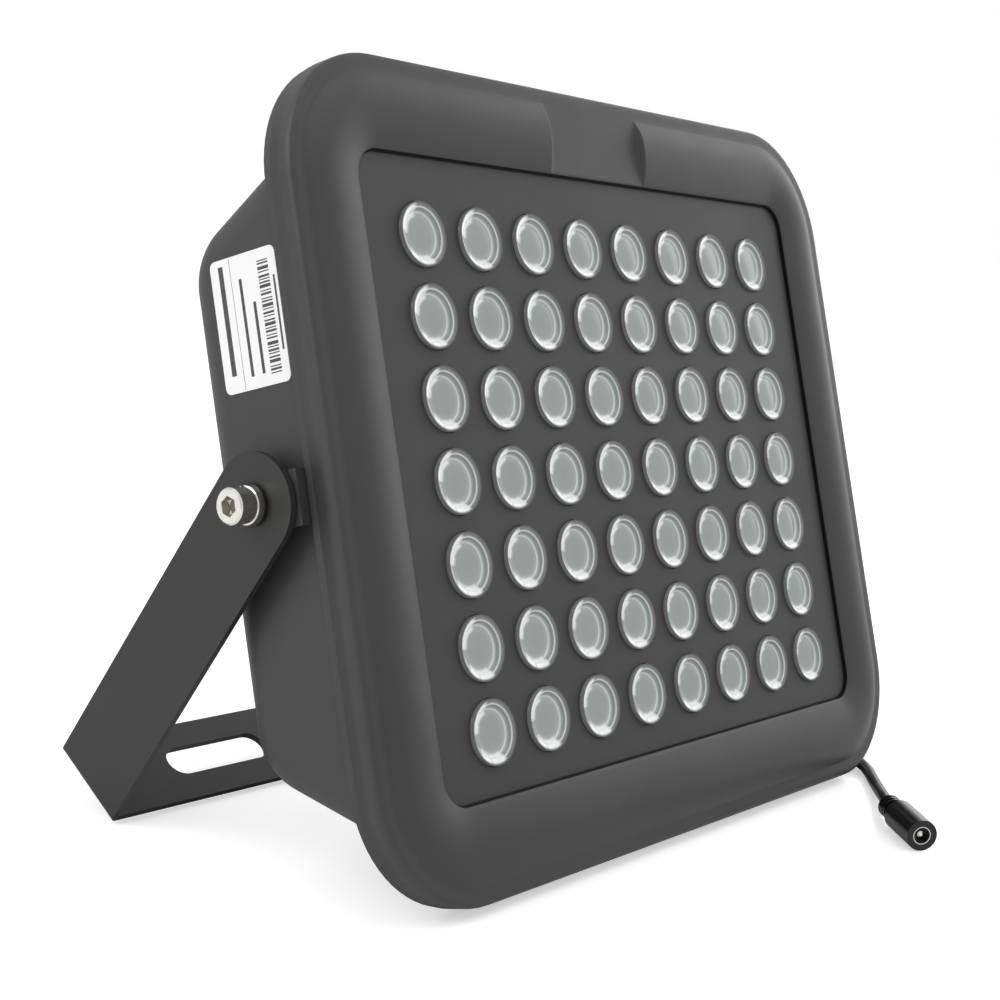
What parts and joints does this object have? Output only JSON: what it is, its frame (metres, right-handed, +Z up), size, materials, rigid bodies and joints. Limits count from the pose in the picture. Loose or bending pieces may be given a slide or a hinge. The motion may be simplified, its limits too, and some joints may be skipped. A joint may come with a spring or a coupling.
{
  "type": "infrared illuminator",
  "caption": "Infrared illuminator: flat cast floodlight body with a grid of lensed emitters, a tilting U bracket behind it and a short lead with a socket.",
  "frame": {"origin": "middle of the footprint box of the lamp and its bracket, on the floor", "axes": "+X to the right seen from the front and along the hinge, +Y to the back, +Z up; the lens side faces -Y, leaned back 20 degrees"},
  "size_m": [0.3096, 0.1837, 0.2248],
  "materials": {
    "front_bezel": "satin charcoal powder coat",
    "front_panel": "matt dark grey coat",
    "led_lenses": "clear moulded lens",
    "led_emitters": "pale emitter package",
    "led_board": "white board coat",
    "mounting_plate": "plain sheet",
    "board_screws": "plated",
    "plate_screws": "plated",
    "bezel_screws": "plated",
    "housing": "satin charcoal powder coat",
    "bezel_gasket": "soft black",
    "rating_label": "white film",
    "pivot_screws": "bright plated",
    "flat_washers": "bright plated",
    "lock_washers": "plated",
    "driver_board": "green board",
    "driver_parts": "moulded black",
    "driver_screws": "plated",
    "gland_body": "black moulding",
    "gland_nut": "black moulding",
    "gland_seal": "soft black",
    "gland_locknut": "black moulding",
    "led_leads": "red insulation",
    "supply_leads": "black insulation",
    "bracket": "black satin powder coat, fine texture",
    "power_cord": "black jacket",
    "connector_boot": "black",
    "connector_body": "black moulding",
    "connector_sleeve": "nickel plated",
    "connector_pin": "nickel plated"
  },
  "bodies": {
    "head": {"front_bezel": "front_bezel", "front_panel": "front_panel", "led_lenses": "led_lenses", "led_emitters": "led_emitters", "led_board": "led_board", "mounting_plate": "mounting_plate", "board_screws": "board_screws", "plate_screws": "plate_screws", "bezel_screws": "bezel_screws", "housing": "housing", "bezel_gasket": "bezel_gasket", "rating_label": "rating_label", "pivot_screws": "pivot_screws", "flat_washers": "flat_washers", "lock_washers": "lock_washers", "driver_board": "driver_board", "driver_parts": "driver_parts", "driver_screws": "driver_screws", "gland_body": "gland_body", "gland_nut": "gland_nut", "gland_seal": "gland_seal", "gland_locknut": "gland_locknut", "led_leads": "led_leads", "supply_leads": "supply_leads", "power_cord": "power_cord", "connector_boot": "connector_boot", "connector_body": "connector_body", "connector_sleeve": "connector_sleeve", "connector_pin": "connector_pin"},
    "bracket": {"bracket": "bracket"}
  },
  "joints": [
    {"name": "bracket_tilt", "type": "hinge", "parent": "head", "child": "bracket", "pos_m": [0, -0.00164, 0.10303], "axis": [1, 0, 0], "range_deg": [-41.5, 126]}
  ]
}
